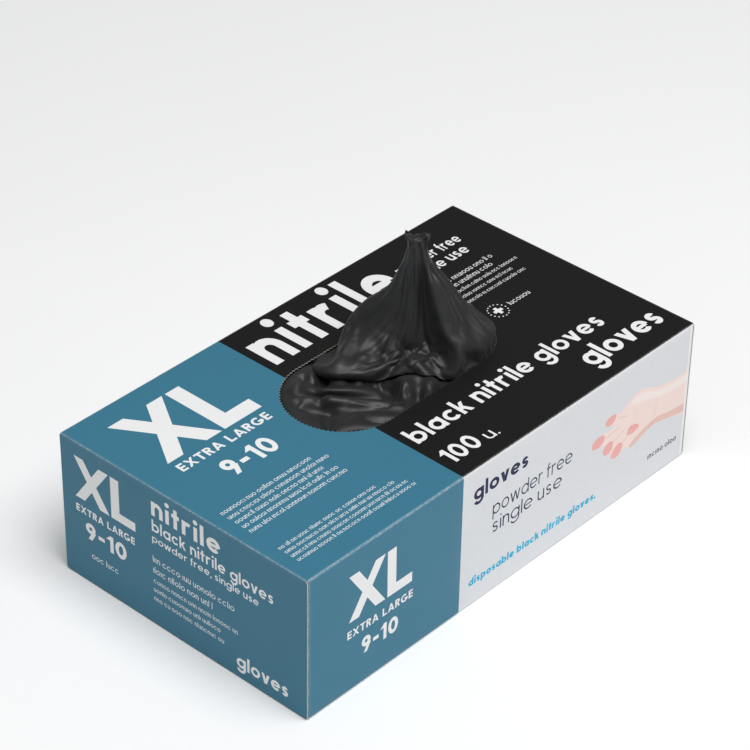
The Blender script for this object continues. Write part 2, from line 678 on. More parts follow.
def end_print():
    """A short end, in u from its middle as it is read and v up from the base."""
    shapes = size_block((-61, -25.9, 42.2, 20.6), (-61, -26.6, 35, 3.6), (-55.9, -31.8, 23.3, 8.4), 0.21)
    shapes += small_print(-52.9, -35.7, 13.9, 2.2, 60)
    shapes += word("nitrile", -16.2, 22.3, 56.3, 7.0, 0.27, 0.2)
    shapes += word("black nitrile gloves", -16.2, 51, 48.4, 4.1, 0.23)
    shapes += word("powder free, single use", -16.2, 43, 43.0, 2.6, 0.2)
    notes = ((32.6, 2.3, 30.4), (27.0, 2.3, 18.8), (21.8, 1.75, 31.6), (17.3, 1.75, 22.1), (12.7, 1.75, 24.3))
    for i, (base, size, end) in enumerate(notes):
        shapes += small_print(-16.2, end, base, size, 61 + i)
    shapes += word("gloves", 30.4, 58.8, 5.6, 4.9, 0.26, 0.14)
    return shapes


def front_print():
    """Print on the front wall in white, navy and cyan, in x and height."""
    white = size_block((-96.7, -60.3, 35.5, 22.8), (-97.5, -59.7, 27.3, 3.9), (-89.2, -68, 15, 8.3), 0.21)
    navy = word("gloves", -23.8, 10, 54.4, 5.4, 0.28, 0.14)
    navy += word("powder free", -11.7, 39.2, 40.6, 5.2, 0.14) + word("single use", -11.7, 33, 31.4, 5.2, 0.14)
    navy += small_print(93.3, 114.2, 11.6, 2.2, 70, 0.24)
    cyan = word("disposable black nitrile gloves.", -25, 57.5, 10.9, 2.9, 0.34, 0.12)
    return white, navy, cyan


# ---------------------------------------------------------------- the carton

FOLD_L = QUARTER * FOLD
CREASE_L = QUARTER * CREASE
CORNER_X = HALF_L - 0.75            # a corner's folds run on to here, just inside the outer flap
PRESS = 0.1                         # how far an outer flap's sides are pressed in


def opening_outline():
    """Stadium with the torn nibs of its perforation."""
    r, h = OPEN_W / 2, OPEN_L / 2 - OPEN_W / 2
    smooth = []
    for centre, a0 in ((h, -90), (-h, 90)):
        smooth += [(OPEN_X + centre + r * math.cos(a), OPEN_Y + r * math.sin(a))
                   for a in np.radians(np.linspace(a0, a0 + 180, 61))]
    smooth = np.array(smooth)
    step = np.linalg.norm(np.roll(smooth, -1, 0) - smooth, axis=1)
    length = step.sum()
    count = int(length / 1.9)
    rng = np.random.default_rng(11)
    marks = []
    for k in range(count):
        wide = 0.5 + 0.12 * rng.random()
        tall = 0.22 + 0.3 * rng.random()
        pitch = length / count
        nib = ((0.0, 0.0), (0.06, 0.16), (0.5, 0.2), (1 - wide * 0.5 - 0.06, 0.14),
               (1 - wide * 0.5, -tall * 0.6), (1 - wide * 0.3, -tall), (1 - wide * 0.12, -tall * 0.7))
        for share, out in nib:
            marks.append(((k + share) * pitch, out))
    total = np.concatenate([[0], np.cumsum(step)])
    closed = np.concatenate([smooth, smooth[:1]])
    loop = []
    for s, out in marks:
        p = np.array([np.interp(s, total, closed[:, i]) for i in (0, 1)])
        ahead = np.array([np.interp((s + 0.3) % length, total, closed[:, i]) for i in (0, 1)])
        t = ahead - p
        t /= np.linalg.norm(t)
        loop.append(p + np.array([t[1], -t[0]]) * out)
    return np.array(loop)


def top_place(u, v, depth):
    lift = bow(u, v, TOP_X, TOP_Y, 0.35, 0.05)
    return np.stack([u, v, HEIGHT - depth + lift], 1)


def wall_outline(total, base_fold):
    """A long wall: its folds at the top, and at the base of the front one, run on to the corners."""
    low = [(-CORNER_X, 0.3), (-CORNER_X, FOLD_L * 0.85), (-WALL_X, FOLD_L)] if base_fold else [(-WALL_X, 0)]
    left = low + [(-WALL_X, total - FOLD_L), (-CORNER_X, total - FOLD_L * 0.85), (-CORNER_X, total - 0.2),
                  (-TOP_X, total)]
    right = [(-u, v) for u, v in left[::-1]]
    loop = right[::-1] + left[::-1]
    return np.array(loop, float)


def carton():
    """Every panel and flap of the carton, each on its body."""
    white = top_print()
    blue_area = [[rect(-HALF_L - 5, -90, BAND, 90)]]
    top = board("top_panel_board", cut_edge(rect(-TOP_X, -TOP_Y, TOP_X, TOP_Y), 8), top_place,
                [("blue", blue_area), ("white", white)], [opening_outline()], base="black", grid=5.0)
    ride(top, "carton", "printed_board_top", "top_panel")

    # front wall: v from the base fold to the top fold, v = z + shift on the flat part
    shift = FOLD_L - FOLD
    steps = [(FOLD_L, 90), (HEIGHT - 2 * FOLD, 0), (FOLD_L, 90)]
    total = sum(length for length, _ in steps)
    place = folded((0, -TOP_Y, 0), (1, 0, 0), (0, -1, 0), (0, 0, -1), steps,
                   lambda u, v: bow(u, v - total / 2, WALL_X, total / 2, 0.5, 0.06))

    def moved(shapes, dv):
        return [[loop + [0, dv] for loop in shape] for shape in shapes]

    white, navy, cyan = (moved(s, shift) for s in front_print())
    hand = [(ink, moved(shapes, shift)) for ink, shapes in hand_picture()]
    half_way = total - FOLD_L * 0.45
    inks = [("black", [[rect(BAND, half_way, 130, total + 5)]]), *hand, ("blue", blue_area), ("white", white),
            ("navy", navy), ("cyan", cyan)]
    front = board("front_wall_board", cut_edge(wall_outline(total, True), 8), place, inks,
                  rows=rows_of(steps), base="cool white", grid=7.0,
                  wear=lambda u, v: 0.8 * near(v, total - FOLD_L / 2, 0.5) + 0.8 * near(v, FOLD_L / 2, 0.5))
    ride(front, "carton", "printed_board_front", "front_wall")

    # rear wall: read from behind, so u runs towards -X; no fold at the base
    steps = [(HEIGHT - FOLD - 0.15, 0), (FOLD_L, 90)]
    total = sum(length for length, _ in steps)
    place = folded((0, HALF_W, 0.15), (-1, 0, 0), (0, 0, 1), (0, 1, 0), steps,
                   lambda u, v: bow(u, v - total / 2, WALL_X, total / 2, 0.5, 0.06))
    rear_band = [[rect(-BAND, -5, 130, 90)]]
    white = size_block((58.5, 94.9, 35.5, 22.8), (57.7, 95.5, 27.3, 3.9), (66, 87.2, 15, 8.3), 0.21)
    navy = (word("nitrile gloves", -105, -32, 50, 6.4, 0.22)
            + word("powder free", -105, -60, 36.4, 4.6, 0.14)
            + word("single use", -105, -66, 28.6, 4.6, 0.14))
    for i in range(6):
        navy += small_print(-40, 18 - 5 * (i % 3), 36 - 4.2 * i, 1.7, 80 + i)
    cyan = word("one hundred single use gloves", -105, -22, 9.6, 3.0, 0.24)
    inks = [("black", [[rect(-130, total - FOLD_L * 0.45, -BAND, total + 5)]]),
            ("blue", rear_band), ("white", white), ("navy", navy), ("cyan", cyan)]
    rear = board("rear_wall_board", cut_edge(wall_outline(total, False), 8), place, inks,
                 rows=rows_of(steps), base="cool white", grid=7.0,
                 wear=lambda u, v: 0.8 * near(v, total - FOLD_L / 2, 0.5) + 0.4 * near(v, 0, 0.4))
    ride(rear, "carton", "printed_board_rear", "rear_wall")

    # base: seen from below, so u runs along X and v towards -Y; a plain panel with the blue band
    deep = node_box("bottom_panel")[1][1]

    def base_place(u, v, depth):
        return np.stack([u, -v, depth + 0 * u], 1)

    base = board("bottom_panel_board", cut_edge(rect(-BASE_X, -deep, BASE_X, TOP_Y), 10), base_place,
                 [("blue", blue_area)], base="white", grid=12.0)
    ride(base, "carton", "printed_board_plain", "bottom_panel")

    for side, end in ((-1, "left"), (1, "right")):
        colour = "blue" if side < 0 else "black"
        # outer flap: u as read from outside, v from the lip on the top panel down over the end
        flat = HALF_L - CREASE - TOP_X
        steps = [(flat, 0), (CREASE_L, 90), (HEIGHT - CREASE - 0.3, 0)]
        total = sum(length for length, _ in steps)
        lip = flat + CREASE_L

        def press(u, v):
            """The flap is glued down in the middle of its edge and springs a little at its sides."""
            down = np.clip((v - lip) / 6, 0, 1)
            sides = PRESS * down * np.clip(np.abs(u) / HALF_W, 0, 1) ** 3
            return -sides - 0.08 * down * np.sin(u * 0.05) ** 2

        place = folded((side * TOP_X, 0, HEIGHT), (0, side, 0), (side, 0, 0), (0, 0, 1), steps, press)
        half = HALF_W - 0.15
        outline = np.array([
            (-TOP_Y, 0), (TOP_Y, 0), (TOP_Y + 0.3, flat), (half - 0.35, lip), (half, lip + 0.7),
            (half, total - 1.3), (half - 0.4, total - 0.4), (half - 1.3, total), (1.3 - half, total),
            (0.4 - half, total - 0.4), (-half, total - 1.3), (-half, lip + 0.7), (0.35 - half, lip),
            (-TOP_Y - 0.3, flat)])
        lettering = end_print()
        flip = HEIGHT - CREASE + flat + CREASE_L          # v = flip - z on the flat part

        def turned(shapes):
            return [[np.stack([loop[:, 0], flip - loop[:, 1]], 1) for loop in shape] for shape in shapes]

        flap = board(f"{end}_outer_flap_board", cut_edge(outline, 8), place,
                     [("white", turned(lettering))], rows=rows_of(steps), base=colour, grid=8.0,
                     wear=lambda u, v: 0.7 * near(v, flat + CREASE_L / 2, 0.35))
        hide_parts(f"{end}_outer_flap")
        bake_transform(flap)

        # inner flap, from the base up
        flat = INNER_X - CREASE - BASE_X
        steps = [(flat, 0), (CREASE_L, 90), (node_box(f"{end}_inner_flap")[1][2] - CREASE, 0)]
        total = sum(length for length, _ in steps)
        place = folded((side * BASE_X, 0, 0), (0, -side, 0), (side, 0, 0), (0, 0, -1), steps)
        half = HALF_W - 3.2
        outline = np.array([
            (-TOP_Y + 0.5, 0), (TOP_Y - 2.3, 0), (TOP_Y - 2.3, flat), (half, flat + 1.5),
            (half, flat + 6), (half - 4, total - 3), (half - 6, total), (6 - half, total),
            (4 - half, total - 3), (-half, flat + 6), (-half, flat + 1.5), (-TOP_Y + 0.5, flat)])
        if side > 0:
            outline = outline * [-1, 1]
            outline = outline[::-1]
        flap = board(f"{end}_inner_flap_board", cut_edge(outline, 8), place, rows=rows_of(steps),
                     base="white", grid=12.0, wear=lambda u, v: 0.7 * near(v, flat + CREASE_L / 2, 0.35))
        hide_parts(f"{end}_inner_flap")
        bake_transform(flap)

        # dust flaps: u is height, v runs from the lip on the wall round to the end
        for face, wall in ((-1, "front"), (1, "rear")):
            node = f"{end}_{wall}_dust_flap"
            low, high = node_box(node)
            flat = CORNER_X - CREASE - WALL_X
            reach = (high[1] - low[1]) - CREASE + 0.4
            steps = [(flat, 0), (CREASE_L, 90), (reach, 0)]
            total = sum(length for length, _ in steps)
            start = flat + CREASE_L

            def tuck(u, v):
                """From its crease, at the corner, the flap leans in behind the inner flap."""
                t = np.clip((v - start) / 3.0, 0, 1)
                return -(CORNER_X - DUST_X) * t * t * (3 - 2 * t)

            place = folded((side * WALL_X, face * HALF_W, 0), (0, 0, 1), (side, 0, 0), (0, face, 0),
                           steps, tuck)
            z0, z1 = low[2], high[2]
            foot = FOLD if wall == "front" else 0.6
            outline = np.array([
                (foot, 0), (HEIGHT - FOLD, 0), (HEIGHT - FOLD, flat), (z1, start + 0.6),
                (z1 - reach / 2 + 1.5, total - 3), (z1 - reach / 2 - 1.5, total - 0.4),
                (z1 - reach / 2 - 3.5, total), (z0 + reach + 2.2, total), (z0 + reach, total - 1.8),
                (z0, start + 0.6), (foot, flat)])
            if side * face > 0:
                outline = outline[::-1]
            printed = "blue" if side < 0 else "white"
            flap = board(f"{node}_board", cut_edge(outline, 8), place,
                         [(printed, [[rect(-5, -1, 80, start + 3.5)]])],
                         rows=rows_of(steps) + [start + 1, start + 2, start + 3], base="white", grid=10.0,
                         wear=lambda u, v: 0.7 * near(v, flat + CREASE_L / 2, 0.35))
            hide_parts(node)
            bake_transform(flap)

    # small parts that keep their CAD shapes
    for node, material in (("seam_flap", INKS["inside"]), ("seam_glue", HOT_MELT),
                           ("left_end_glue", HOT_MELT), ("right_end_glue", HOT_MELT)):
        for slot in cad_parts[node].material_slots:
            slot.material = material


carton()


# ---------------------------------------------------------------- film: the gloves in the opening


class Film:
    """Thin film as a grid of points held by links, which settles in small damped steps.
    rest gives the points' resting places, on says which of them are film."""

    def __init__(self, rest, on, around=False, slack=(1.0, 1.0)):
        self.rest, self.on, self.around = rest, on, around
        self.p = rest.copy()
        self.v = np.zeros_like(rest)
        self.free = on.astype(float)
        self.slack = [np.broadcast_to(s, on.shape) for s in slack]
        self.links = []
        for di, dj, stiff in ((1, 0, 1.0), (0, 1, 1.0), (1, 1, 0.5), (1, -1, 0.5)):
            self.link(di, dj, stiff, False)

    def link(self, di, dj, stiff, push_only):
        """Links at one offset, in two sets that share no point. push_only links resist bending."""
        rows, columns = self.on.shape
        i, j = np.indices(self.on.shape)
        span = max(abs(di), abs(dj))
        along = i if di else j
        for half in (0, 1):
            ok = self.on & ((along // span) % 2 == half) & (i + di < rows)
            if not self.around:
                ok &= (j + dj < columns) & (j + dj >= 0)
            a_i, a_j = np.nonzero(ok)
            b_i, b_j = a_i + di, (a_j + dj) % columns
            both = self.on[b_i, b_j]
            a_i, a_j, b_i, b_j = a_i[both], a_j[both], b_i[both], b_j[both]
            length = np.linalg.norm(self.rest[a_i, a_j] - self.rest[b_i, b_j], axis=1)
            share = [s[a_i, a_j] for s in self.slack]
            length *= share[0] if not dj else share[1] if not di else (share[0] + share[1]) / 2
            self.links.append((a_i * columns + a_j, b_i * columns + b_j, length, stiff, push_only))

    def bend(self, *pairs):
        for reach, stiff in pairs:
            self.link(reach, 0, stiff, True)
            self.link(0, reach, stiff, True)

    def pull_links(self):
        p, free = self.p.reshape(-1, 3), self.free.reshape(-1)
        for a, b, rest, stiff, push_only in self.links:
            d = p[b] - p[a]
            length = np.sqrt((d * d).sum(1)) + 1e-9
            error = length - rest
            if push_only:
                error = np.minimum(error, 0)
            wa, wb = free[a], free[b]
            step = (stiff * error / length / np.maximum(wa + wb, 1e-9))[:, None] * d
            p[a] += wa[:, None] * step
            p[b] -= wb[:, None] * step

    def settle(self, steps, rounds, keep_out, before=None, damping=0.97, gravity=0.0, fastest=1.5):
        moving = (self.free > 0)[..., None]
        for n in range(steps):
            if before:
                before(n / steps)
            old = self.p.copy()
            self.p = self.p + moving * (self.v + np.array((0, 0, -gravity)))
            for _ in range(rounds):
                self.pull_links()
            keep_out()
            self.v = (self.p - old) * damping * moving
            speed = np.sqrt((self.v ** 2).sum(-1, keepdims=True))
            self.v *= np.minimum(1, fastest / np.maximum(speed, 1e-9))

    def quads(self):
        """Corner numbers of the whole cells, among the points that are film."""
        number = np.cumsum(self.on).reshape(self.on.shape) - 1
        if self.around:
            corner = [number[:-1], np.roll(number, -1, 1)[:-1], np.roll(number, -1, 1)[1:], number[1:]]
            whole = self.on[:-1] & self.on[1:]
        else:
            corner = [number[:-1, :-1], number[1:, :-1], number[1:, 1:], number[:-1, 1:]]
            whole = self.on[:-1, :-1] & self.on[1:, :-1] & self.on[1:, 1:] & self.on[:-1, 1:]
        return np.stack([c[whole] for c in corner], 1)


def close_pairs(points, reach):
    """Index pairs of points that share or touch a cell of that size."""
    span = 4096
    cell = np.floor(points / reach).astype(np.int64) + 1000
    key = (cell[:, 0] * span + cell[:, 1]) * span + cell[:, 2]
    order = np.argsort(key, kind="stable")
    ranked = key[order]
    first, second = [], []
    for offset in [(x * span + y) * span + z for x in (-1, 0, 1) for y in (-1, 0, 1) for z in (-1, 0, 1)]:
        if offset < 0:
            continue
        low = np.searchsorted(ranked, key + offset, "left")
        count = np.searchsorted(ranked, key + offset, "right") - low
        i = np.repeat(np.arange(len(points)), count)
        begin = np.repeat(low - np.concatenate([[0], np.cumsum(count)[:-1]]), count)
        j = order[begin + np.arange(count.sum())]
        if offset == 0:
            i, j = i[i < j], j[i < j]
        first.append(i)
        second.append(j)
    return np.concatenate(first), np.concatenate(second)


def push_apart(film, gap, skip=2):
    """Keeps a film off itself: points nearer than gap move apart, unless they are neighbours in it."""
    p, free, place = film.p[film.on], film.free[film.on], np.argwhere(film.on)
    i, j = close_pairs(p, gap)
    apart = np.abs(place[i] - place[j]).max(1) > skip
    i, j = i[apart], j[apart]
    d = p[j] - p[i]
    length = np.sqrt((d * d).sum(1)) + 1e-9
    close = length < gap
    i, j, d, length = i[close], j[close], d[close], length[close]
    step = ((gap - length) / length / np.maximum(free[i] + free[j], 1e-9))[:, None] * d * 0.5
    n = len(p)
    move = np.stack([np.bincount(j, free[j] * step[:, k], n) - np.bincount(i, free[i] * step[:, k], n)
                     for k in range(3)], 1)
    shared = np.maximum(1, (np.bincount(i, minlength=n) + np.bincount(j, minlength=n)) * 0.5)
    film.p[film.on] = p + move / shared[:, None]


def past_rim(x, y, inset=0.0):
    """How far a point is past the opening's edge, and the direction outwards."""
    half = OPEN_L / 2 - OPEN_W / 2
    dx = x - OPEN_X - np.clip(x - OPEN_X, -half, half)
    dy = y - OPEN_Y
    d = np.hypot(dx, dy) + 1e-9
    return d - (OPEN_W / 2 - inset), dx / d, dy / d


def keep_off_panel(film, floor, ceiling=1000.0, clearance=0.7):
    """Holds the film above the floor, and off the top panel where it comes through the opening."""
    x, y, z = film.p[..., 0], film.p[..., 1], film.p[..., 2]
    z = np.minimum(np.maximum(z, floor(x, y)), ceiling)
    past, nx, ny = past_rim(x, y, clearance)
    under = HEIGHT - BOARD - clearance
    touching = (past > 0) & (z > under) & (z < HEIGHT + 3)
    slide = touching & (past < (z - under) * 1.2 + 1.5)
    moved = np.stack([np.where(slide, x - nx * past, x), np.where(slide, y - ny * past, y),
                      np.where(touching & ~slide, under, z)], -1)
    film.p = np.where((film.free > 0)[..., None], moved, film.p)


NEXT_X, NEXT_Y, NEXT_HALF_L, NEXT_HALF_W = 4.0, 3.0, 92.0, 62.0


def facets(points, sites, rng, tilt, width):
    """Crumpling: each point's height on its facet, and how deep it lies in the crease beside it."""
    gaps = np.linalg.norm(points[..., None, :] - sites, axis=-1)
    nearest = gaps.argmin(-1)
    order = np.sort(gaps, -1)
    slopes = rng.uniform(-tilt, tilt, (len(sites), 2))
    lean = ((points - sites[nearest]) * slopes[nearest]).sum(-1)
    return lean, np.exp(-(order[..., 1] - order[..., 0]) / width)


def wander(x, y):
    """A bend of the plane, so that creases don't run straight."""
    across = 1.8 * np.sin(y * 0.31 + 1) + np.sin(x * 0.47)
    along = 1.8 * np.sin(x * 0.27) + np.sin(y * 0.53 + 2)
    return np.stack([across, along], -1)


def next_film():
    """The glove below: flat film crowded together under the opening until it crumples."""
    cell, tight_x, tight_y, low = 1.7, 0.84, 0.80, 65.4
    xs = np.arange(NEXT_X - NEXT_HALF_L, NEXT_X + NEXT_HALF_L, cell)
    ys = np.arange(NEXT_Y - NEXT_HALF_W, NEXT_Y + NEXT_HALF_W, cell)
    x, y = np.meshgrid(xs, ys, indexing="ij")
    reach = np.abs((x - NEXT_X) / NEXT_HALF_L) ** 4 + np.abs((y - NEXT_Y) / NEXT_HALF_W) ** 4
    film = Film(np.stack([x, y, np.zeros_like(x)], -1), reach <= 1)
    film.bend((2, 0.3), (4, 0.08))
    rng = np.random.default_rng(7)
    film.p[..., 2] = 66.5
    for _ in range(26):
        turn, wave, phase = rng.uniform(0, math.pi), rng.uniform(18, 60), rng.uniform(0, 2 * math.pi)
        film.p[..., 2] += rng.uniform(0.3, 0.9) * 0.7 * np.sin(
            (x * math.cos(turn) + y * math.sin(turn)) * 2 * math.pi / wave + phase)
    edge = film.on & (reach > 0.86)
    film.free[edge] = 0
    start = film.p.copy()
    centre = np.array((NEXT_X, NEXT_Y))
    last = np.ones(2)

    def crowd(t):
        nonlocal last
        k = min(1, t / 0.8)
        scale = 1 + (np.array((tight_x, tight_y)) - 1) * k
        film.p[edge, :2] = centre + (start[edge, :2] - centre) * scale
        film.p[edge, 2] = start[edge, 2] * (1 - k) + 60.5 * k
        loose = film.free > 0
        film.p[loose, :2] = centre + (film.p[loose, :2] - centre) * scale / last
        last = scale

    def floor(x, y):
        past, _, _ = past_rim(x, y)
        return low - np.clip((past + 4) / 10, 0, 1) * (low - 59.0)

    def keep_out():
        push_apart(film, 1.6)
        keep_off_panel(film, floor, 69.9)

    film.settle(200, 6, keep_out, crowd)
    rng = np.random.default_rng(3)
    sites = centre + rng.uniform(-1, 1, (48, 2)) * (NEXT_HALF_L, NEXT_HALF_W)
    lean, crease = facets(start[..., :2] + wander(start[..., 0], start[..., 1]), sites, rng, 0.24, 1.5)
    inward = np.clip((-past_rim(film.p[..., 0].ravel(), film.p[..., 1].ravel())[0] - 1.5) / 4, 0, 1)
    film.p[..., 2] += (lean * 0.8 - 2.0 * crease) * (film.free > 0) * inward.reshape(lean.shape)
    return film


PINCH = np.array((25.7, 7.3))       # where the glove being drawn was held
SIDE = np.array((0.675, -0.737))    # the flat of the pinch runs this way
BACK = np.array((0.737, 0.675))
TUFT_Z, NECK_Z, ROOT_Z = 126.0, 119.5, 112.0


def around(values, angles):
    """A smooth closed curve through values at the given angles, in degrees."""
    def at(angle):
        angle = np.asarray(angle) % 360
        keys = np.array(angles, float)
        vals = np.array(values, float)
        n = len(keys)
        k = np.searchsorted(keys, angle, "right") - 1
        k0, k1, k2, k3 = (k - 1) % n, k % n, (k + 1) % n, (k + 2) % n
        gap = (keys[k2] - keys[k1]) % 360
        gap = np.where(gap == 0, 360, gap)
        t = ((angle - keys[k1]) % 360) / gap
        before, after = (keys[k1] - keys[k0]) % 360, (keys[k3] - keys[k2]) % 360
        m1 = (vals[k2] - vals[k0]) / (before + gap) * gap
        m2 = (vals[k3] - vals[k1]) / (gap + after) * gap
        return ((2 * t ** 3 - 3 * t ** 2 + 1) * vals[k1] + (t ** 3 - 2 * t ** 2 + t) * m1
                + (3 * t ** 2 - 2 * t ** 3) * vals[k2] + (t ** 3 - t ** 2) * m2)
    return at


# where the free hem of the drawn glove lies on the glove below: (x, y, z)
HEM = ((-1.0, 28.6, 67.0), (-12.0, 25.0, 66.5), (-18.5, 17.0, 68.0), (-15.0, 8.5, 69.4),
       (-4.0, 4.5, 69.8), (5.5, -3.0, 69.8), (14.5, -12.5, 69.6), (24.0, -21.0, 69.0))


# folds that fan out from the pinch: (angle, width in degrees, height)
FAN = ((317, 2.8, 2.1), (326, 2.2, 1.2), (334, 2.3, 1.6), (342, 2.1, 1.2), (351, 2.4, 1.5), (1, 2.2, 1.2),
       (12, 3.0, 1.4), (25, 3.4, 1.1), (41, 4, 1.3), (58, 4, 1.2), (76, 4.5, 1.2), (95, 5, 1.3),
       (115, 4, 1.0), (133, 4.5, 1.2), (152, 4, 1.1), (168, 3.2, 1.0), (180, 3, 1.1), (193, 3.4, 1.2),
       (208, 3, 0.8), (221, 3.4, 0.9), (243, 4, 0.6), (266, 4, 0.5), (292, 6, -1.0))


def skirt_end(angles):
    """Where the drawn film ends in each direction from the pinch: tucked under the rim, or at its
    free hem inside the opening. Gives (x, y, z) and whether it is tucked."""
    ends, tucked = [], []
    hem = np.array(HEM)
    for angle in angles:
        way = SIDE * math.cos(math.radians(angle)) + BACK * math.sin(math.radians(angle))
        low, high = 0.0, 200.0
        for _ in range(40):
            middle = (low + high) / 2
            past, _, _ = past_rim(*(PINCH + way * middle), 0.6)
            low, high = (low, middle) if past > 0 else (middle, high)
        end, hold = np.array([*(PINCH + way * low), HEIGHT - 0.4]), 1.0
        for a, b in zip(hem, hem[1:]):
            edge = b[:2] - a[:2]
            cross = way[0] * edge[1] - way[1] * edge[0]
            if abs(cross) < 1e-9:
                continue
            out = ((a[0] - PINCH[0]) * edge[1] - (a[1] - PINCH[1]) * edge[0]) / cross
            share = ((a[0] - PINCH[0]) * way[1] - (a[1] - PINCH[1]) * way[0]) / cross
            if out > 0 and 0 <= share <= 1 and out < low:
                end, hold = np.array([*(PINCH + way * out), a[2] + (b[2] - a[2]) * share]), 0.0
        ends.append(end)
        tucked.append(hold)
    return np.array(ends), np.array(tucked)


def drawn_film(under):
    """The glove being drawn: a tent of film from the pinch to the rim, sculpted, then let buckle.
    under(x, y) is the height of the glove below."""
    columns = 176
    angle = np.arange(columns) * 360 / columns
    ends, tucked = skirt_end(angle)
    soft = np.hanning(9) / np.hanning(9).sum()
    ends = np.stack([np.convolve(np.concatenate([e[-4:], e, e[:4]]), soft, "valid") for e in ends.T], 1)
    tuck = np.convolve(np.concatenate([tucked[-4:], tucked, tucked[:4]]), soft, "valid")
    #       right  rear right  rear  rear left  left  shoulder  front left  front   ridge
    keys = (0, 45, 90, 135, 178, 200, 225, 270, 300, 319, 338)
    r1 = around((12.0, 10.0, 8.5, 9.0, 10.0, 10.0, 8.0, 5.5, 6.0, 10.5, 12.0), keys)(angle)
    z1 = around((104.5, 102, 101, 100, 99.5, 97.5, 96.0, 97.5, 100, 106.0, 105), keys)(angle)
    r2 = around((20.5, 18.0, 17.0, 16.0, 22.5, 22.0, 17.5, 11.5, 13.0, 18.5, 19.5), keys)(angle)
    z2 = around((91.0, 86, 84, 85, 89.0, 84.0, 81.0, 79.5, 82, 91.0, 91), keys)(angle)
    turn = np.radians(angle)
    way = np.outer(np.cos(turn), SIDE) + np.outer(np.sin(turn), BACK)

    def ring(half_a, half_b, z, wave=0.0, lobes=0):
        """Flattened ring about the pinch, pleated."""
        flat = np.outer(half_a * np.cos(turn), SIDE)
        pleats = wave * np.sin(lobes * turn + 0.5) * np.abs(np.sin(turn)) ** 0.3
        flat += np.outer(half_b * np.sin(turn) + pleats
                         + wave * 0.7 * np.sin(half_a * np.cos(turn) * 1.1), BACK)
        return np.concatenate([PINCH + flat, np.broadcast_to(z, columns)[:, None]], 1)

    crest = TUFT_Z - 1.2 + 0.8 * np.cos(turn * 2 + 0.4) + 0.5 * np.sin(turn * 5)
    rings = [ring(5.0, 0.05, crest, 0.7, 0), ring(5.3, 0.7, crest - 1.2, 0.75, 3),
             ring(4.6, 1.2, 122.2, 0.7, 6), ring(3.9, 1.5, NECK_Z, 0.45, 8),
             ring(4.3, 2.1, 116.5, 0.4, 9), ring(5.2, 3.0, ROOT_Z, 0.3, 10)]
    middle = [np.concatenate([PINCH + way * r[:, None], z[:, None]], 1) for r, z in ((r1, z1), (r2, z2))]
    lip = np.concatenate([ends[:, :2] - way * 0.5, ends[:, 2:] + 3.0], 1)
    tail = ends.copy()
    tail[:, :2] += way * (tuck * 7.0)[:, None]
    tail[:, 2] -= tuck * 5.5
    shape = np.stack(rings + middle + [lip, ends] + [tail])
    step = np.linalg.norm(np.diff(shape, axis=0), axis=2).mean(1)
    at = np.concatenate([[0], np.cumsum(step)])
    rows = int(at[-1] / 1.02)
    s = np.linspace(0, at[-1], rows)
    # a smooth curve through the rings in each direction
    k = np.clip(np.searchsorted(at, s, "right") - 1, 0, len(at) - 2)
    gap = (at[k + 1] - at[k])[:, None, None]
    t = ((s - at[k]) / (at[k + 1] - at[k]))[:, None, None]
    slope = np.gradient(shape, at, axis=0)
    p = ((2 * t ** 3 - 3 * t ** 2 + 1) * shape[k] + (t ** 3 - 2 * t ** 2 + t) * slope[k] * gap
         + (3 * t ** 2 - 2 * t ** 3) * shape[k + 1] + (t ** 3 - t ** 2) * slope[k + 1] * gap)
    share = np.clip((s - at[5]) / (at[-2] - at[5]), 0, 1)[:, None]      # 0 at the neck, 1 at the skirt's end
    # folds: taut ones that fan out from the pinch on the right, and slack swags low on the front
    normal = np.cross(np.gradient(p, axis=0), np.roll(p, -1, 1) - np.roll(p, 1, 1))
    normal /= np.linalg.norm(normal, axis=2, keepdims=True) + 1e-9
    outward = np.sign((normal[..., :2] * way[None]).sum(-1, keepdims=True) + 1e-9)
    normal *= outward
    lift = np.zeros(p.shape[:2])
    for where, wide, tall in FAN:
        drift = 5 * np.sin(share * 2.6 + where) * (1 - share)
        off = (angle[None] - where - drift + 180) % 360 - 180
        fold = np.exp(-np.abs(off / wide) ** 1.5)
        lift += tall * fold * np.clip(share * 5, 0, 1) ** 0.5 * (0.8 + 0.2 * np.cos(share * 3))
    front = np.exp(-(np.abs(angle - 258) / 44.0) ** 3)[None]
    bend = np.radians(angle - 275)[None]
    wander_off = 0.25 * np.sin(bend * 5 + share * 9)
    swag = np.abs(np.sin(math.pi * (share * 6.4 + 0.55 * bend ** 2 + wander_off))) ** 0.7
    begin = np.clip((share - 0.45) / 0.15, 0, 1)
    stop = np.clip((1.0 - share) / 0.06, 0, 1)
    lift += 2.2 * (swag - 0.6) * front * begin * stop
    p += normal * lift[..., None]
    slack = [1.010 + 0.08 * front * np.clip((share - 0.35) / 0.3, 0, 1) + 0 * angle[None],
             1.045 + 0.035 * np.cos(np.radians(angle - 150))[None] ** 2 * share + 0 * share]
    film = Film(p, np.ones(p.shape[:2], bool), True, slack)
    film.bend((2, 0.3), (4, 0.08))
    rng = np.random.default_rng(5)
    ripple = np.zeros(p.shape[:2])
    for _ in range(30):
        lobes, climb, phase = rng.integers(6, 30), rng.uniform(-5, 5), rng.uniform(0, 2 * math.pi)
        ripple += rng.uniform(0.02, 0.10) * np.sin(lobes * turn[None] + climb * share * 3 + phase)
    film.p += normal * (ripple * np.clip(share * 4, 0, 1))[..., None]
    film.free[s < at[4]] = 0
    film.free[-1] = np.where(tuck > 0.5, 0, 1)
    film.free[-2] = np.where(tuck > 0.5, 0, 1)

    def keep_out():
        keep_off_panel(film, lambda x, y: np.where(past_rim(x, y)[0] < -0.5, under(x, y) + 0.5, 60.0))

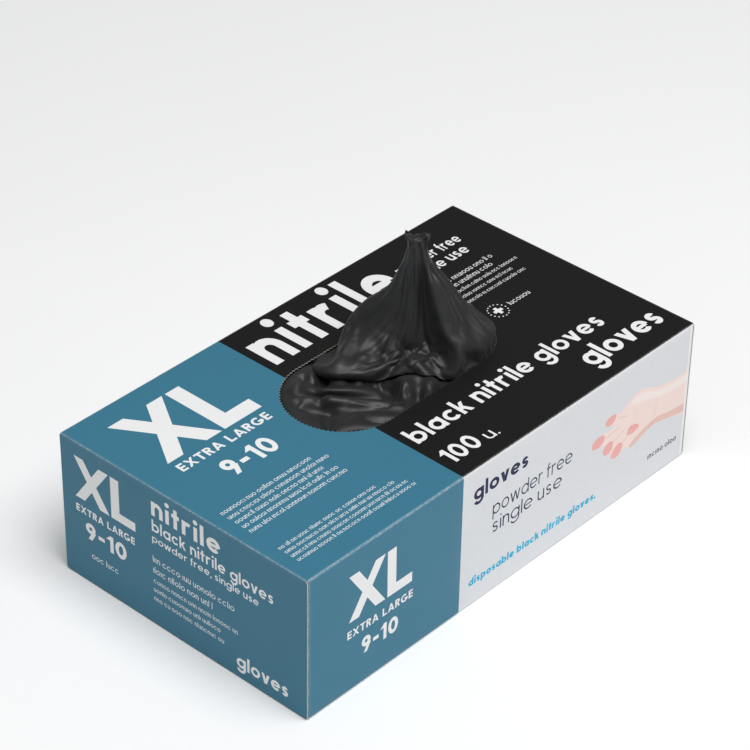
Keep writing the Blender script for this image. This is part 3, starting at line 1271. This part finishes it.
    film.settle(60, 8, keep_out, damping=0.9, gravity=0.008, fastest=0.8)
    spread = np.stack(np.broadcast_arrays((angle[None] - 262) * 0.42, share * 44), -1)
    sites = rng.uniform(-1, 1, (60, 2)) * (34, 24) + (0, 26)
    lean, crease = facets(spread + wander(spread[..., 0], spread[..., 1]), sites, rng, 0.22, 1.3)
    slack_front = np.exp(-(np.abs(angle - 256) / 52.0) ** 4)[None] * np.clip((share - 0.5) / 0.15, 0, 1)
    film.p += normal * ((lean * 0.7 - 1.5 * crease) * slack_front * (film.free > 0))[..., None]
    return film


def height_over(film, cell=2.0):
    """A function giving the top of a settled film at any place."""
    low = np.array((-80.0, -80.0))
    size = 90
    top = np.full((size, size), 58.0)
    p = film.p[film.on]
    i = np.clip(((p[:, :2] - low) / cell).astype(int), 0, size - 1)
    np.maximum.at(top, (i[:, 0], i[:, 1]), p[:, 2])
    for _ in range(2):
        top = np.maximum(top, (np.roll(top, 1, 0) + np.roll(top, -1, 0) + np.roll(top, 1, 1)
                               + np.roll(top, -1, 1)) / 4)

    def at(x, y):
        i = np.clip(((x - low[0]) / cell).astype(int), 0, size - 1)
        j = np.clip(((y - low[1]) / cell).astype(int), 0, size - 1)
        return top[i, j]

    return at


# ---------------------------------------------------------------- glove pieces


def solid_film(name, film, thickness=0.25, levels=1):
    """A settled film as a mesh: smoothed, and given its thickness."""
    mesh = bpy.data.meshes.new(name)
    cells = [tuple(int(i) for i in quad) for quad in film.quads()]
    mesh.from_pydata([tuple(p * MM) for p in film.p[film.on]], [], cells)
    rough = add(name + "_rough", mesh)
    smooth = rough.modifiers.new("smooth", "SUBSURF")
    smooth.levels = smooth.render_levels = levels
    thick = rough.modifiers.new("thick", "SOLIDIFY")
    thick.thickness = thickness * MM
    thick.offset = 0
    shaped = bpy.data.meshes.new_from_object(rough.evaluated_get(bpy.context.evaluated_depsgraph_get()))
    bpy.data.objects.remove(rough)
    bpy.data.meshes.remove(mesh)
    shaped.name = name
    shaped.polygons.foreach_set("use_smooth", [True] * len(shaped.polygons))
    shaped.materials.clear()
    shaped.materials.append(NITRILE)
    return add(name, shaped)


def opening_gloves():
    """The glove drawn up through the opening, and the one that shows below it."""
    below = next_film()
    next_piece = ride(solid_film("next_glove_film", below), "carton", "nitrile_black", "next_glove")
    drawn = drawn_film(height_over(below))
    piece = ride(solid_film("drawn_glove_film", drawn), "drawn_glove", "nitrile_black", "drawn_glove")


GLOVE_L, GLOVE_W, GLOVE_T, PITCH = 232.0, 118.0, 0.24, 0.575
IN_LAYER, LAYERS, DRAWN = 10, 10, 2


def arc_points(centre, radius, a0, a1, steps):
    return [(centre[0] + radius * math.cos(a), centre[1] + radius * math.sin(a))
            for a in np.radians(np.linspace(a0, a1, steps + 1))]


def flat_glove_outline():
    wide = GLOVE_W / 4 - 1
    low = [(0, -GLOVE_W * 0.44), (GLOVE_L * 0.2, -GLOVE_W * 0.43), (GLOVE_L * 0.45, -GLOVE_W * 0.49)]
    fingers = []
    for i, share in enumerate((0.93, 1, 0.97, 0.89)):
        y, tip = (i - 1.5) * GLOVE_W / 4, GLOVE_L * share
        fingers += [(GLOVE_L * 0.645, y - wide / 2)]
        fingers += arc_points((tip - wide / 2, y), wide / 2, -90, 90, 8)
        fingers += [(GLOVE_L * 0.645, y + wide / 2)]
    return np.array(low + fingers + [(x, -y) for x, y in low[::-1]], float)


def flat_thumb_outline():
    return np.array([(GLOVE_L * 0.28, -GLOVE_W * 0.42)]
                    + arc_points((GLOVE_L * 0.56, -GLOVE_W * 0.06), 13, -60, 130, 8)
                    + [(GLOVE_L * 0.42, -GLOVE_W * 0.2)], float)


def shell(outline, thickness, grid):
    """Closed flat shell of an outline: points and faces, bottom at 0."""
    low, high = outline.min(0), outline.max(0)
    xs = np.arange(low[0] + grid / 2, high[0], grid)
    ys = np.arange(low[1] + grid / 2, high[1], grid)
    extra = np.stack(np.meshgrid(xs, ys, indexing="ij"), -1).reshape(-1, 2)
    extra = extra[inside(extra, outline)]
    flat, skin = triangulate([cut_edge(outline, grid)], [], extra, lambda centres: inside(centres, outline))
    n = len(flat)
    points = np.concatenate([np.column_stack([flat, np.full(n, thickness)]),
                             np.column_stack([flat, np.zeros(n)])])
    faces = [tuple(t) for t in skin] + [tuple(t[::-1] + n) for t in skin]
    faces += [(b, a, a + n, b + n) for a, b in border(skin)]
    return points, faces


def glove_stack():
    """Ten layers of ten flat gloves, without the two that have been drawn."""
    body = shell(flat_glove_outline(), GLOVE_T, 14.0)
    thumb = shell(flat_thumb_outline(), GLOVE_T * 0.7, 14.0)
    thumb[0][:, 2] += GLOVE_T
    for n in range(1, LAYERS + 1):
        count = IN_LAYER - DRAWN if n == LAYERS else IN_LAYER
        points, faces = [], []
        for k in range((n - 1) * IN_LAYER, (n - 1) * IN_LAYER + count):
            way = -1 if k % 2 else 1
            for p, f in (body, thumb):
                q = p.copy()
                q[:, 0] -= GLOVE_L / 2
                q[:, :2] = q[:, :2] * way + [math.sin(math.radians(k * 67)) * 1.2,
                                             math.sin(math.radians(k * 101)) * 5]
                start = sum(len(x) for x in points)
                settle = 0.22 * math.sin(k * 2.3) * PITCH
                q[:, 2] += BOARD + 0.35 + k * PITCH + settle * 0.2
                # the whole stack ripples together, a little more towards its top
                rise = q[:, 2] / HEIGHT
                q[:, 2] += rise * (0.5 * np.sin(q[:, 0] * 0.06 + 0.8) * np.sin(q[:, 1] * 0.09)
                                   + 0.25 * np.sin(q[:, 0] * 0.17 + q[:, 1] * 0.08)) - rise * 0.2
                points.append(q)
                faces += [tuple(int(i) + start for i in face) for face in f]
        name = f"glove_layer_{n:02d}"
        mesh = bpy.data.meshes.new(name + "_films")
        mesh.from_pydata([tuple(v * MM) for v in np.concatenate(points)], [], faces)
        mesh.materials.append(NITRILE)
        piece = add(name + "_films", mesh)
        ride(piece, "carton", "nitrile_black", name)


opening_gloves()
glove_stack()


# ---------------------------------------------------------------- the floor, the light and the camera


def floor():
    """Plain pale floor, just below the carton."""
    mesh = bpy.data.meshes.new("floor")
    half, drop = 6.0, -0.0002
    mesh.from_pydata([(-half, -half, drop), (half, -half, drop), (half, half, drop), (-half, half, drop)], [],
                     [(0, 1, 2, 3)])
    material, tree, shader = new_material("floor")
    tree.links.new(mixed(tree, noise(tree, 6, 2), (0.90, 0.90, 0.90), (0.92, 0.92, 0.92)),
                   shader.inputs["Base Color"])
    shader.inputs["Roughness"].default_value = 0.9
    shader.inputs["Specular IOR Level"].default_value = 0.1
    shader.inputs["Emission Color"].default_value = (1, 1, 1, 1)
    shader.inputs["Emission Strength"].default_value = 0.10
    mesh.materials.append(material)
    add("floor", mesh)


def area_light(name, towards, distance, size, power):
    """A soft round lamp that shines at the origin."""
    light = bpy.data.lights.new(name, "AREA")
    light.shape = "DISK"
    light.size = size
    light.energy = power
    lamp = add(name, light)
    direction = Vector(towards).normalized()
    lamp.location = direction * distance
    lamp.rotation_euler = direction.to_track_quat("Z", "Y").to_euler()


def lights():
    """Even pale surroundings and one large soft lamp overhead."""
    world = bpy.data.worlds.new("world")
    bpy.context.scene.world = world
    world.use_nodes = True
    background = world.node_tree.nodes["Background"]
    background.inputs["Color"].default_value = (0.97, 0.985, 1.0, 1)
    background.inputs["Strength"].default_value = 0.22
    area_light("key", (-0.06, -0.36, 0.93), 2.2, 1.6, 42)


def camera():
    """Long lens, looking down at the front left corner."""
    data = bpy.data.cameras.new("camera")
    data.sensor_width = 36
    data.lens = 138.9
    data.clip_start = 0.05
    data.clip_end = 50
    view = add("camera", data)
    forward = Vector((0.60769, 0.54525, -0.57742)).normalized()
    right = Vector((0.67554, -0.73717, 0.01486)).normalized()
    up = right.cross(forward).normalized()
    right = forward.cross(up)
    turn = Matrix((right, up, -forward)).transposed().to_4x4()
    view.matrix_world = Matrix.Translation((-0.7323, -0.6507, 0.7632)) @ turn
    bpy.context.scene.camera = view


floor()
lights()
camera()
bpy.context.scene.view_settings.view_transform = "Standard"
